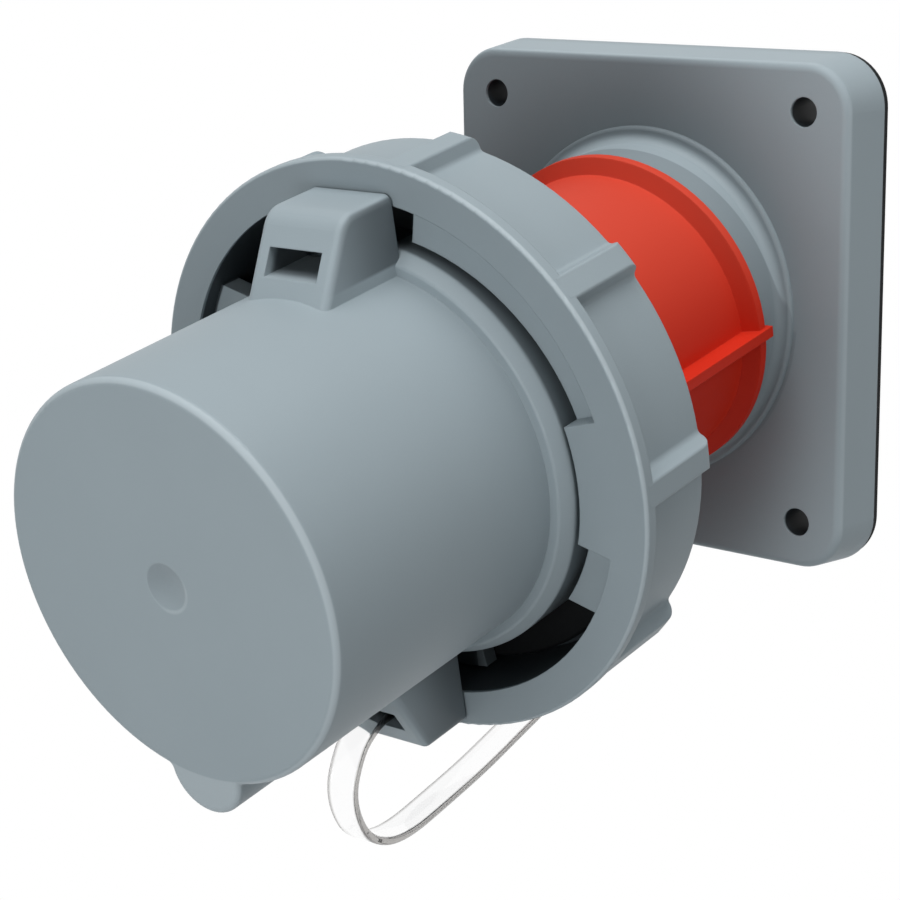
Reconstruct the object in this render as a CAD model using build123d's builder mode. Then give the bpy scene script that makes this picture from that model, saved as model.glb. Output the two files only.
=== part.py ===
from build123d import *
import math
import os

# Panel inlet for a five-pole, 63 A class round plug-and-socket system, with its bayonet ring and cap.
# Millimetres, +Z up. The mounting panel is the plane Y = 0 and the inlet faces -Y.
# The origin is the middle of the four fixing holes, on the face that meets the panel.
# The body leaves the flange leaning down. Places along its axis are called s: they are counted
# outwards from the point where the axis crosses the flange's front face.

# Flange plate and its gasket
LEAN = 10.0  # angle between the flange's normal and the body's axis, degrees
FLANGE_W = 100.0
FLANGE_H = 107.0
FLANGE_T = 12.1
FLANGE_DRAFT = 6.5  # degrees
FLANGE_CORNER_R = 11.0
FLANGE_EDGE_R = 1.8
FLANGE_WALL = 3.2
HOLE_SPACING_X = 77.0
HOLE_SPACING_Z = 85.0
HOLE_R = 3.0
BOSS_WALL = 3.2
RIB_T = 2.4
STIFFENERS = 5
GASKET_T = 1.8
GASKET_INSET = 0.25
GASKET_BAND = 9.5
OVERCUT = 1.0  # how far a cutting shape reaches past the face that it opens

# Neck of the flange housing, with the bead at its foot, and the body's spigot in it
NECK_STEP = 0.2
NECK_WALL = 2.6
NECK_FRONT_S = 7.4
NECK_REAR_S = -8.0
NECK_BACK_CLEARANCE = 2.4
NECK_FOOT_R = 1.8
BEAD_W = 3.0
BEAD_H = 1.0
BEAD_EDGE_R = 0.8
SPIGOT_GAP = 0.2
SPIGOT_LENGTH = 21.4
NUT_RIM = 4.2
NUT_LENGTH = 4.6
NUT_GAP = 0.05
NUT_NOTCHES = 8
NUT_NOTCH_W = 5.0
NUT_NOTCH_DEPTH = 1.2
ORING_R = 0.7
ORING_S = 0.0
ORING_GAP = 0.03
ORING_GROOVE_W = 1.8

# Red body: collar, barrel, shoulder for the seal, and the shroud round the pins
BARREL_R = 31.6
COLLAR_STEP = 3.3
COLLAR_T = 2.1
COLLAR_BEVEL = 1.6
COLLAR_CLEARANCE = 0.3
BODY_WALL = 3.0
SHOULDER_MARGIN = 4.1
SHOULDER_S = 66.0
SHOULDER_T = 3.0
SEAL_MARGIN = 1.7
SEAL_T = 3.7
SEAL_EDGE_R = 0.8
SHROUD_R = 34.9
SHROUD_WALL = 2.5
SHROUD_FRONT_S = 138.0
WEB_LEDGE = 4.6
WEB_REAR_S = 61.0
WEB_T = 9.5
MARK_HEIGHT = 4.3
MARK_W = 2.2
MARK_OVERHANG = 1.2
MARK_GAP = 0.3
MARK_FRONT_S = 39.0
MARK_ANGLE = 0.0
KEY_HEIGHT = 5.0
KEY_W = 10.4
KEY_LENGTH = 48.0
KEY_SETBACK = 2.0

# Insulating carrier and contacts
CARRIER_GAP = 0.25
CARRIER_STANDOUT = 5.5
CARRIER_COLLAR_T = 8.0
CARRIER_REAR_S = -8.0
PLATE_T = 6.0
FENCE_LENGTH = 20.0
FENCE_T = 2.0
FENCE_HUB_GAP = 0.25
FENCE_HUB_WALL = 1.8
FENCE_HUB_LENGTH = 6.0
FENCE_HEAD_GAP = 1.2
PITCH_INSET = 6.4  # from the carrier's rear edge in to the circle of the power pins
POLES = 5
EARTH_ANGLE = -90.0
POWER_PIN_R = 4.0
EARTH_PIN_R = 5.0
PILOT_PIN_R = 3.0
PIN_RECESS = 10.0
EARTH_RECESS = 6.0
PILOT_RECESS = 22.0
PIN_NOSE = 0.45  # nose rounding as a share of the pin's radius
PIN_COLLAR_R = 6.1
PILOT_COLLAR_R = 5.2
PIN_COLLAR_T = 3.0
TERMINAL_R = 5.2
PILOT_TERMINAL_R = 4.2
TERMINAL_LENGTH = 20.0
WIRE_BORE_R = 3.2
PILOT_BORE_R = 1.7
WIRE_BORE_DEPTH = 16.0

# Small screws
TERMINAL_SCREW_R = 1.9
TERMINAL_SCREW_PITCH = 7.5
TERMINAL_SCREW_SETBACK = 4.6
PILOT_SCREW_R = 1.2
CARRIER_SCREW_R = 1.5
CARRIER_SCREW_HEAD_R = 1.95
CARRIER_SCREW_HEAD_T = 2.0
CARRIER_SCREW_LENGTH = 15.0
CARRIER_SCREWS = 3
RETAINER_SCREW_R = 1.4
RETAINER_SCREW_HEAD_R = 2.6
RETAINER_SCREW_HEAD_T = 1.8
RETAINER_SCREW_LENGTH = 14.0
RETAINER_SCREW_INSET = 3.6  # from the carrier's rear edge in to the circle of these screws
RETAINER_SCREWS = 5
DRIVE_W = 0.8
DRIVE_DEPTH = 0.9
SCREW_FIT = 0.02

# Locking ring
RING_MOUTH_R = 50.1
RING_WALL = 4.5
RING_BAND_H = 2.9
RING_LENGTH = 22.05
RING_BAND_W = 2.7
RING_EDGE_R = 0.8
RING_WEB_T = 2.6
RING_BORE_GAP = 0.35
GRIP_RIBS = 9
GRIP_TOP_W = 4.8
GRIP_FOOT_W = 7.4
GRIP_FOOT_R = 1.2
GRIP_TOP_R = 0.6
GRIP_END_R = 2.4
LEDGE_SETBACK = 2.4  # from the ring's front face back to the ramp's highest place
LEDGE_RISE = 1.7
LEDGE_START = 15.3
LEDGE_END = 76.0
CLAW_HALF_ANGLE = 15.3
STUB_END = -36.6
STUB_SLANT = 3.6  # how many degrees the stub ledge is shorter at its outer side
ROOT = 1.5  # how far ledges and ribs reach into the wall that carries them
CLIP_T = 1.6
CLIP_HEIGHT = 3.7
CLIP_GROOVE_DEPTH = 1.1
CLIP_GAP_ANGLE = 40.0
RUN_GAP = 0.35

# Protective cap
CAP_FIT = 0.6
CAP_WALL = 2.5
CAP_HEADROOM = 5.2
CAP_END_T = 2.6
CAP_EDGE_R = 1.4
CAP_SEAL_GAP = 0.3
CAP_RIM_T = 3.8
CAP_RIM_LENGTH = 11.4
CAP_RIM_GAP = 1.3
CAP_RIM_EDGE_R = 0.8
CAP_STEP_T = 1.9
CAP_BEVEL_LENGTH = 2.6
CAP_FOOT_R = 1.1
LOBE_R = 8.3
LOBE_WALL = 4.4
LOBE_FOOT_R = 1.0
KEY_PASSAGE_GAP = 0.6
DIMPLE_R = 4.7
DIMPLE_DEPTH = 0.9
DIMPLE_EDGE_R = 0.5
LUG_GAP = 0.5
LUG_W = 19.0
LUG_NOSE_R = 5.0
LUG_EDGE_R = 1.6
SLOT_W = 12.4
SLOT_H = 4.7
SLOT_STOP = 6.9
UPPER_SLOT_BASE = 41.0
LOWER_SLOT_BASE = 46.2
CHAMBER_W = 14.6
CHAMBER_MARGIN = 0.6
CHAMBER_LENGTH = 4.0
TAB_T = 3.2
TAB_GAP = 1.1
TAB_HALF_ANGLE = 10.0
# Side outlines of the strap lugs: (distance in front of the lug's rear face, height above the axis),
# from the foot over the top and down the slanted front
LUG_FOOT = 36.0
UPPER_LUG = [(0, LUG_FOOT), (0, 51.6), (12.6, 51.6), (21.7, LUG_FOOT)]
LOWER_LUG = [(0, LUG_FOOT), (0, 55.4), (11.8, 55.4), (21.6, LUG_FOOT)]

# Clear strap from the lower lug to a loop on the barrel
STRAP_W = 6.0
STRAP_T = 1.5
LOOP_S = 43.0
LOOP_GAP = 0.3
BAR_GAP = 0.35
BAR_T = 2.6

# Shared frame
FRONT_Y = -(GASKET_T + FLANGE_T)
LEAN_SIN = math.sin(math.radians(LEAN))
LEAN_COS = math.cos(math.radians(LEAN))
AXIS_POINT = (0, FRONT_Y, 0)
OUTWARD = (0, -LEAN_COS, -LEAN_SIN)
body_axis = Axis(AXIS_POINT, OUTWARD)
# Three working planes of the leaning body. In cross, local X is right, local Y is up and the normal
# is outwards. In half, local X is the radius and local Y is s. In side, local X is s and local Y is up.
cross = Plane(origin=AXIS_POINT, x_dir=(1, 0, 0), z_dir=OUTWARD)
half = Plane(origin=AXIS_POINT, x_dir=(1, 0, 0), z_dir=(0, LEAN_SIN, -LEAN_COS))
side = Plane(origin=AXIS_POINT, x_dir=OUTWARD, z_dir=(-1, 0, 0))

# Places that several pieces share, from the flange outwards
NECK_BORE_R = BARREL_R - NECK_STEP
NECK_R = NECK_BORE_R + NECK_WALL
SPIGOT_R = NECK_BORE_R - SPIGOT_GAP
SPIGOT_REAR_S = NECK_FRONT_S - SPIGOT_LENGTH
NUT_BORE_R = SPIGOT_R + NUT_GAP
NUT_R = NUT_BORE_R + NUT_RIM
ORING_CENTRE_R = NECK_BORE_R - ORING_GAP - ORING_R
ORING_FLOOR_R = ORING_CENTRE_R - ORING_R - ORING_GAP
COLLAR_R = BARREL_R + COLLAR_STEP
COLLAR_FRONT_S = NECK_FRONT_S + COLLAR_T
BODY_BORE_R = BARREL_R - BODY_WALL
WEB_BORE_R = BODY_BORE_R - WEB_LEDGE
SHOULDER_R = RING_MOUTH_R - SHOULDER_MARGIN
SEAL_R = RING_MOUTH_R - SEAL_MARGIN
SHROUD_BORE_R = SHROUD_R - SHROUD_WALL
SHOULDER_FRONT_S = SHOULDER_S + SHOULDER_T
SEAL_FRONT_S = SHOULDER_FRONT_S + SEAL_T
WEB_FRONT_S = WEB_REAR_S + WEB_T
MARK_TOP_R = BARREL_R + MARK_HEIGHT
MARK_REAR_S = NECK_FRONT_S - MARK_OVERHANG
KEY_TOP_R = SHROUD_R + KEY_HEIGHT
KEY_FRONT_S = SHROUD_FRONT_S - KEY_SETBACK
KEY_REAR_S = KEY_FRONT_S - KEY_LENGTH
CARRIER_COLLAR_R = BODY_BORE_R - CARRIER_GAP
CARRIER_SPIGOT_R = WEB_BORE_R - CARRIER_GAP
CARRIER_FRONT_S = WEB_FRONT_S + CARRIER_STANDOUT
CARRIER_COLLAR_REAR_S = WEB_REAR_S - CARRIER_COLLAR_T
CARRIER_REAR_R = WEB_BORE_R
CARRIER_SCREW_CIRCLE_R = (CARRIER_COLLAR_R + CARRIER_REAR_R) / 2
PITCH_R = CARRIER_REAR_R - PITCH_INSET
RETAINER_SCREW_CIRCLE_R = CARRIER_REAR_R - RETAINER_SCREW_INSET
PLATE_REAR_S = CARRIER_REAR_S - PLATE_T
TERMINAL_REAR_S = PLATE_REAR_S - TERMINAL_LENGTH
FENCE_HUB_BORE_R = PILOT_TERMINAL_R + FENCE_HUB_GAP
FENCE_HUB_R = FENCE_HUB_BORE_R + FENCE_HUB_WALL
FENCE_OUTER_R = RETAINER_SCREW_CIRCLE_R - RETAINER_SCREW_HEAD_R - FENCE_HEAD_GAP
RING_BODY_R = RING_MOUTH_R + RING_WALL
RING_R = RING_BODY_R + RING_BAND_H
RING_REAR_S = SHOULDER_S - RUN_GAP - RING_WEB_T
RING_FRONT_S = RING_REAR_S + RING_LENGTH
RING_BORE_R = BARREL_R + RING_BORE_GAP
RING_WEB_FRONT_S = RING_REAR_S + RING_WEB_T
CLIP_FRONT_S = RING_REAR_S - RUN_GAP
CLIP_REAR_S = CLIP_FRONT_S - CLIP_T
CLIP_FLOOR_R = BARREL_R - CLIP_GROOVE_DEPTH
CAP_BORE_R = SHROUD_R + CAP_FIT
CAP_REAR_R = CAP_BORE_R + CAP_WALL
CAP_REAR_S = SEAL_FRONT_S + CAP_SEAL_GAP
CAP_CEILING_S = SHROUD_FRONT_S + CAP_HEADROOM
CAP_FRONT_S = CAP_CEILING_S + CAP_END_T
CAP_RIM_R = CAP_REAR_R + CAP_RIM_T
CAP_RIM_FRONT_S = CAP_REAR_S + CAP_RIM_LENGTH
CAP_STEP_R = CAP_REAR_R + CAP_STEP_T
CAP_STEP_S = CAP_RIM_FRONT_S + CAP_BEVEL_LENGTH
PASSAGE_W = KEY_W + 2 * KEY_PASSAGE_GAP
PASSAGE_R = KEY_TOP_R + KEY_PASSAGE_GAP
LOBE_CENTRE_R = PASSAGE_R + LOBE_WALL - LOBE_R
LEDGE_R = CAP_RIM_R + CAP_RIM_GAP
LEDGE_UNDER_S = CAP_REAR_S + TAB_T + RUN_GAP
LEDGE_TOP_S = RING_FRONT_S - LEDGE_SETBACK
LEDGE_LOW_S = LEDGE_TOP_S - LEDGE_RISE
LEDGE_T = LEDGE_LOW_S - LEDGE_UNDER_S
TAB_R = RING_MOUTH_R - TAB_GAP
LUG_REAR_S = RING_FRONT_S + LUG_GAP
SLOT_STOP_S = LUG_REAR_S + SLOT_STOP
CHAMBER_REAR_S = SLOT_STOP_S - CHAMBER_LENGTH
LOOP_INNER_R = BARREL_R + LOOP_GAP
LOOP_OUTER_R = LOOP_INNER_R + STRAP_T
PIN_ANGLES = [EARTH_ANGLE + 360.0 / POLES * i for i in range(POLES)]
FENCE_ANGLE = EARTH_ANGLE + 180.0 / POLES
CARRIER_SCREW_ANGLES = [FENCE_ANGLE + 360.0 / CARRIER_SCREWS * i for i in range(CARRIER_SCREWS)]


def polar(radius, angle):
    """Point at a radius and an angle in degrees, for a sketch on a cross plane."""
    return (radius * math.cos(math.radians(angle)), radius * math.sin(math.radians(angle)))


def at(s, turn=0.0, radius=0.0):
    """Place at s along the body, turned about the axis and moved out by a radius."""
    return cross.offset(s).location * Location((0, 0, 0), (0, 0, turn)) * Location((radius, 0, 0))


def outward_from(s, turn, radius):
    """Place on a radius of the body, with its Z pointing away from the axis."""
    return at(s, turn, radius) * Location((0, 0, 0), (0, 90, 0))


def sector(inner, outer, start, end, slant=0.0):
    """Ring segment between two radii and two angles, its outer arc starting later by the slant."""
    with BuildSketch() as segment:
        with BuildLine():
            CenterArc((0, 0), inner, start, end - start)
            CenterArc((0, 0), outer, start + slant, end - start - slant)
            Line(polar(inner, start), polar(outer, start + slant))
            Line(polar(inner, end), polar(outer, end))
        make_face()
    return segment.sketch


def height(point):
    """Height of a point above the leaning axis."""
    return cross.to_local_coords(point).Y


def place(point):
    """Place of a point along the leaning axis, as s."""
    return cross.to_local_coords(point).Z


# Flange housing: a drafted plate, hollow behind, with the leaning neck and four fixing bosses
plate_back = Plane(origin=(0, -GASKET_T, 0), x_dir=(1, 0, 0), z_dir=(0, -1, 0))
plate_front = plate_back.offset(FLANGE_T)
inner_w = FLANGE_W - 2 * FLANGE_WALL
inner_h = FLANGE_H - 2 * FLANGE_WALL
inner_depth = FLANGE_T - FLANGE_WALL
bead_r = NECK_R + BEAD_W

with BuildPart() as flange_housing:
    with BuildSketch(plate_back):
        RectangleRounded(FLANGE_W, FLANGE_H, FLANGE_CORNER_R)
    extrude(amount=FLANGE_T, taper=FLANGE_DRAFT)
    fillet(flange_housing.faces().sort_by(Axis.Y)[0].edges(), FLANGE_EDGE_R)
    with BuildSketch(plate_back):
        RectangleRounded(inner_w, inner_h, FLANGE_CORNER_R - FLANGE_WALL)
    extrude(amount=inner_depth, taper=FLANGE_DRAFT, mode=Mode.SUBTRACT)
    with BuildSketch(plate_back):
        with GridLocations(HOLE_SPACING_X, HOLE_SPACING_Z, 2, 2):
            Circle(HOLE_R + BOSS_WALL)
        with GridLocations(HOLE_SPACING_X / (STIFFENERS - 1), 0, STIFFENERS, 1):
            Rectangle(RIB_T, inner_h)
        Rectangle(inner_w, RIB_T)
    extrude(amount=inner_depth + FLANGE_WALL / 2)
    # Low bead at the neck's foot, drawn where the leaning neck meets the flat face
    with BuildSketch(plate_front.offset(-FLANGE_WALL / 2)):
        Ellipse(bead_r, bead_r / LEAN_COS)
    extrude(amount=FLANGE_WALL / 2 + BEAD_H)
    bead_rim = flange_housing.faces().sort_by(Axis.Y)[0].edges()
    fillet(bead_rim, BEAD_EDGE_R)
    # The neck is drawn too long, blended into the bead, and then cut to its length round the collar
    with BuildSketch(cross.offset(NECK_REAR_S)):
        Circle(NECK_R)
    extrude(amount=2 * NECK_FRONT_S - NECK_REAR_S)
    bead_top = flange_housing.faces().filter_by(Axis.Y).sort_by(Axis.Y)[0]
    fillet(bead_top.inner_wires()[0].edges(), NECK_FOOT_R)
    with BuildSketch(cross.offset(NECK_FRONT_S)):
        Circle(COLLAR_R + COLLAR_CLEARANCE)
    extrude(amount=2 * NECK_FRONT_S, mode=Mode.SUBTRACT)
    with BuildSketch(cross.offset(NECK_REAR_S)):
        Circle(NECK_R + NECK_BACK_CLEARANCE)
    extrude(amount=-FLANGE_T, mode=Mode.SUBTRACT)
    with BuildSketch(cross.offset(NECK_FRONT_S)):
        Circle(NECK_BORE_R)
    extrude(amount=-3 * FLANGE_T, mode=Mode.SUBTRACT)
    with BuildSketch(plate_back.offset(-OVERCUT)):
        with GridLocations(HOLE_SPACING_X, HOLE_SPACING_Z, 2, 2):
            Circle(HOLE_R)
    extrude(amount=FLANGE_T + 2 * OVERCUT, mode=Mode.SUBTRACT)
flange_housing.part.label = "flange_housing"

# Gasket between the flange and the panel
with BuildPart() as flange_gasket:
    with BuildSketch(Plane(origin=(0, 0, 0), x_dir=(1, 0, 0), z_dir=(0, -1, 0))):
        RectangleRounded(
            FLANGE_W - 2 * GASKET_INSET, FLANGE_H - 2 * GASKET_INSET, FLANGE_CORNER_R - GASKET_INSET
        )
        Circle(FLANGE_W / 2 - GASKET_BAND, mode=Mode.SUBTRACT)
        with GridLocations(HOLE_SPACING_X, HOLE_SPACING_Z, 2, 2):
            Circle(HOLE_R, mode=Mode.SUBTRACT)
    extrude(amount=GASKET_T)
flange_gasket.part.label = "flange_gasket"

# Red body, one moulding: spigot, collar, barrel, seal shoulder and shroud
with BuildPart() as red_shroud:
    with BuildSketch(half):
        with BuildLine():
            Polyline(
                (BODY_BORE_R, SPIGOT_REAR_S),
                (SPIGOT_R, SPIGOT_REAR_S),
                (SPIGOT_R, NECK_FRONT_S),
                (COLLAR_R, NECK_FRONT_S),
                (COLLAR_R, COLLAR_FRONT_S),
                (BARREL_R, COLLAR_FRONT_S + COLLAR_BEVEL),
                (BARREL_R, CLIP_REAR_S),
                (CLIP_FLOOR_R, CLIP_REAR_S),
                (CLIP_FLOOR_R, CLIP_FRONT_S),
                (BARREL_R, CLIP_FRONT_S),
                (BARREL_R, SHOULDER_S),
                (SHOULDER_R, SHOULDER_S),
                (SHOULDER_R, SHOULDER_FRONT_S),
                (SHROUD_R, SHOULDER_FRONT_S),
                (SHROUD_R, SHROUD_FRONT_S),
                (SHROUD_BORE_R, SHROUD_FRONT_S),
                (SHROUD_BORE_R, WEB_FRONT_S),
                (WEB_BORE_R, WEB_FRONT_S),
                (WEB_BORE_R, WEB_REAR_S),
                (BODY_BORE_R, WEB_REAR_S),
                close=True,
            )
        make_face()
    revolve(axis=body_axis)
    # O-ring groove round the spigot
    with BuildSketch(half):
        with Locations((ORING_FLOOR_R, ORING_S)):
            Rectangle(2 * OVERCUT + 2 * ORING_R, ORING_GROOVE_W, align=(Align.MIN, Align.CENTER))
    revolve(axis=body_axis, mode=Mode.SUBTRACT)
    # Marker rib along the barrel, standing over the collar and a little way over the neck
    for start_s, foot_r in ((MARK_REAR_S, NECK_R + MARK_GAP), (NECK_FRONT_S, BARREL_R - BODY_WALL / 2)):
        with BuildSketch(cross.offset(start_s)):
            with PolarLocations(0, 1, start_angle=MARK_ANGLE):
                with Locations((foot_r, 0)):
                    Rectangle(MARK_TOP_R - foot_r, MARK_W, align=(Align.MIN, Align.CENTER))
        extrude(amount=MARK_FRONT_S - start_s)
    # Major key under the shroud
    with BuildSketch(cross.offset(KEY_REAR_S)):
        with PolarLocations(0, 1, start_angle=EARTH_ANGLE):
            with Locations((SHROUD_R - SHROUD_WALL / 2, 0)):
                Rectangle(KEY_HEIGHT + SHROUD_WALL / 2, KEY_W, align=(Align.MIN, Align.CENTER))
    extrude(amount=KEY_LENGTH)
    # Screw holes for the carrier, blind from behind
    for angle in CARRIER_SCREW_ANGLES:
        with Locations(at(WEB_REAR_S, angle, CARRIER_SCREW_CIRCLE_R)):
            Cylinder(CARRIER_SCREW_R, 2 * CARRIER_COLLAR_T, mode=Mode.SUBTRACT)
red_shroud.part.label = "red_shroud"

# O-ring that seals the spigot in the neck
with BuildPart() as body_o_ring:
    with BuildSketch(half):
        with Locations((ORING_CENTRE_R, ORING_S)):
            Circle(ORING_R)
    revolve(axis=body_axis)
body_o_ring.part.label = "body_o_ring"

# Notched nut that clamps the body in the neck
with BuildPart() as body_nut:
    with BuildSketch(cross.offset(NECK_REAR_S)):
        Circle(NUT_R)
        Circle(NUT_BORE_R, mode=Mode.SUBTRACT)
        with PolarLocations(NUT_R, NUT_NOTCHES):
            Rectangle(2 * NUT_NOTCH_DEPTH, NUT_NOTCH_W, mode=Mode.SUBTRACT)
    extrude(amount=-NUT_LENGTH)
body_nut.part.label = "body_nut"

# Insulating carrier, pushed in from behind against the web
carrier_length = CARRIER_FRONT_S - CARRIER_REAR_S
carrier_middle_s = CARRIER_REAR_S + carrier_length / 2

with BuildPart() as pin_carrier:
    with BuildSketch(half):
        with BuildLine():
            Polyline(
                (0, CARRIER_REAR_S),
                (CARRIER_REAR_R, CARRIER_REAR_S),
                (CARRIER_REAR_R, CARRIER_COLLAR_REAR_S),
                (CARRIER_COLLAR_R, CARRIER_COLLAR_REAR_S),
                (CARRIER_COLLAR_R, WEB_REAR_S),
                (CARRIER_SPIGOT_R, WEB_REAR_S),
                (CARRIER_SPIGOT_R, CARRIER_FRONT_S),
                (0, CARRIER_FRONT_S),
                close=True,
            )
        make_face()
    revolve(axis=body_axis)
    # Stepped holes for the pins and their collars
    for angle in PIN_ANGLES:
        hole_r = EARTH_PIN_R if angle == EARTH_ANGLE else POWER_PIN_R
        with Locations(at(carrier_middle_s, angle, PITCH_R)):
            Cylinder(hole_r, carrier_length, mode=Mode.SUBTRACT)
        with Locations(at(CARRIER_REAR_S + PIN_COLLAR_T / 2, angle, PITCH_R)):
            Cylinder(PIN_COLLAR_R, PIN_COLLAR_T, mode=Mode.SUBTRACT)
    with Locations(at(carrier_middle_s)):
        Cylinder(PILOT_PIN_R, carrier_length, mode=Mode.SUBTRACT)
    with Locations(at(CARRIER_REAR_S + PIN_COLLAR_T / 2)):
        Cylinder(PILOT_COLLAR_R, PIN_COLLAR_T, mode=Mode.SUBTRACT)
    for angle in CARRIER_SCREW_ANGLES:
        with Locations(at(WEB_REAR_S, angle, CARRIER_SCREW_CIRCLE_R)):
            Cylinder(CARRIER_SCREW_R, 3 * CARRIER_COLLAR_T, mode=Mode.SUBTRACT)
    with Locations(at(PLATE_REAR_S)):
        with PolarLocations(RETAINER_SCREW_CIRCLE_R, RETAINER_SCREWS, start_angle=FENCE_ANGLE):
            Cylinder(RETAINER_SCREW_R, 2 * RETAINER_SCREW_LENGTH, mode=Mode.SUBTRACT)
pin_carrier.part.label = "pin_carrier"

# Rear plate that traps the pins' collars
with BuildPart() as pin_retainer:
    with BuildSketch(cross.offset(CARRIER_REAR_S)):
        Circle(CARRIER_REAR_R)
        with PolarLocations(PITCH_R, POLES, start_angle=EARTH_ANGLE):
            Circle(TERMINAL_R, mode=Mode.SUBTRACT)
        Circle(PILOT_TERMINAL_R, mode=Mode.SUBTRACT)
        with PolarLocations(RETAINER_SCREW_CIRCLE_R, RETAINER_SCREWS, start_angle=FENCE_ANGLE):
            Circle(RETAINER_SCREW_R, mode=Mode.SUBTRACT)
    extrude(amount=-PLATE_T)
pin_retainer.part.label = "pin_retainer"

# Fences between the terminals, standing on the plate round a short hub on the pilot's terminal
with BuildPart() as terminal_fence:
    with BuildSketch(cross.offset(PLATE_REAR_S)):
        with PolarLocations(FENCE_HUB_R, POLES, start_angle=FENCE_ANGLE):
            Rectangle(FENCE_OUTER_R - FENCE_HUB_R, FENCE_T, align=(Align.MIN, Align.CENTER))
    extrude(amount=-FENCE_LENGTH)
    with BuildSketch(cross.offset(PLATE_REAR_S)):
        Circle(FENCE_HUB_R + FENCE_HUB_GAP)
        Circle(FENCE_HUB_BORE_R, mode=Mode.SUBTRACT)
    extrude(amount=-FENCE_HUB_LENGTH)
terminal_fence.part.label = "terminal_fence"


def contact_pin(pin_r, front_s, collar_r, terminal_r, bore_r, screw_r, screw_places, turn=0.0, pitch_r=0.0):
    """Turned pin: rounded nose, trapped collar, and behind it a wire terminal with its screw holes."""
    with BuildPart() as pin:
        with Locations(at((front_s + CARRIER_REAR_S) / 2, turn, pitch_r)):
            Cylinder(pin_r, front_s - CARRIER_REAR_S)
        nose = pin.edges().filter_by(GeomType.CIRCLE).sort_by(body_axis)[-1]
        fillet(nose, pin_r * PIN_NOSE)
        with Locations(at(CARRIER_REAR_S + PIN_COLLAR_T / 2, turn, pitch_r)):
            Cylinder(collar_r, PIN_COLLAR_T)
        with Locations(at((CARRIER_REAR_S + TERMINAL_REAR_S) / 2, turn, pitch_r)):
            Cylinder(terminal_r, CARRIER_REAR_S - TERMINAL_REAR_S)
        with Locations(at(TERMINAL_REAR_S + WIRE_BORE_DEPTH / 2, turn, pitch_r)):
            Cylinder(bore_r, WIRE_BORE_DEPTH, mode=Mode.SUBTRACT)
        for s in screw_places:
            with Locations(outward_from(s, turn, pitch_r + terminal_r / 2)):
                Cylinder(screw_r, terminal_r, mode=Mode.SUBTRACT)
    return pin


def slotted_screw(shank_r, shank_length, head_r, head_t):
    """Screw along Z with its shank below the origin and a slotted head on top, for Locations."""
    with BuildPart() as screw:
        Cylinder(shank_r, shank_length, align=(Align.CENTER, Align.CENTER, Align.MAX))
        if head_t > 0:
            Cylinder(head_r, head_t, align=(Align.CENTER, Align.CENTER, Align.MIN))
        with Locations((0, 0, head_t)):
            Box(
                2 * max(shank_r, head_r) + OVERCUT, DRIVE_W, DRIVE_DEPTH,
                align=(Align.CENTER, Align.CENTER, Align.MAX), mode=Mode.SUBTRACT,
            )
    return screw.part


# Five power contacts round the pitch circle, the thicker earth at the bottom, and the pilot in the middle
terminal_screw_places = [
    TERMINAL_REAR_S + TERMINAL_SCREW_SETBACK,
    TERMINAL_REAR_S + TERMINAL_SCREW_SETBACK + TERMINAL_SCREW_PITCH,
]
pilot_screw_s = TERMINAL_REAR_S + TERMINAL_SCREW_SETBACK
pins = {}
power_names = ("earth_pin", "phase_pin_1", "phase_pin_2", "phase_pin_3", "neutral_pin")
for name, angle in zip(power_names, PIN_ANGLES):
    is_earth = angle == EARTH_ANGLE
    pin_r = EARTH_PIN_R if is_earth else POWER_PIN_R
    front_s = SHROUD_FRONT_S - (EARTH_RECESS if is_earth else PIN_RECESS)
    pins[name] = contact_pin(
        pin_r, front_s, PIN_COLLAR_R, TERMINAL_R, WIRE_BORE_R, TERMINAL_SCREW_R,
        terminal_screw_places, angle, PITCH_R,
    )
pins["pilot_pin"] = contact_pin(
    PILOT_PIN_R, SHROUD_FRONT_S - PILOT_RECESS, PILOT_COLLAR_R, PILOT_TERMINAL_R, PILOT_BORE_R,
    PILOT_SCREW_R, [pilot_screw_s],
)
for name, pin in pins.items():
    pin.part.label = name

# Clamping screws of the terminals, set in from the outer side
with BuildPart() as terminal_screws:
    grub = slotted_screw(TERMINAL_SCREW_R - SCREW_FIT, TERMINAL_R - WIRE_BORE_R, 0, 0)
    for angle in PIN_ANGLES:
        for s in terminal_screw_places:
            with Locations(outward_from(s, angle, PITCH_R + TERMINAL_R)):
                add(grub)
terminal_screws.part.label = "terminal_screws"

with BuildPart() as pilot_screw:
    with Locations(outward_from(pilot_screw_s, 0, PILOT_TERMINAL_R)):
        add(slotted_screw(PILOT_SCREW_R - SCREW_FIT, PILOT_TERMINAL_R - PILOT_BORE_R, 0, 0))
pilot_screw.part.label = "pilot_screw"

# Carrier screws, from behind through the carrier's collar into the web
with BuildPart() as carrier_screws:
    carrier_screw = slotted_screw(
        CARRIER_SCREW_R - SCREW_FIT, CARRIER_SCREW_LENGTH, CARRIER_SCREW_HEAD_R, CARRIER_SCREW_HEAD_T
    )
    for angle in CARRIER_SCREW_ANGLES:
        with Locations(
            at(CARRIER_COLLAR_REAR_S, angle, CARRIER_SCREW_CIRCLE_R) * Location((0, 0, 0), (180, 0, 0))
        ):
            add(carrier_screw)
carrier_screws.part.label = "carrier_screws"

# Retainer screws, through the plate into the carrier, one in each gap between two terminals
with BuildPart() as retainer_screws:
    retainer_screw = slotted_screw(
        RETAINER_SCREW_R - SCREW_FIT, RETAINER_SCREW_LENGTH, RETAINER_SCREW_HEAD_R, RETAINER_SCREW_HEAD_T
    )
    for i in range(RETAINER_SCREWS):
        angle = FENCE_ANGLE + 360.0 / RETAINER_SCREWS * i
        with Locations(
            at(PLATE_REAR_S, angle, RETAINER_SCREW_CIRCLE_R) * Location((0, 0, 0), (180, 0, 0))
        ):
            add(retainer_screw)
retainer_screws.part.label = "retainer_screws"

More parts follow.
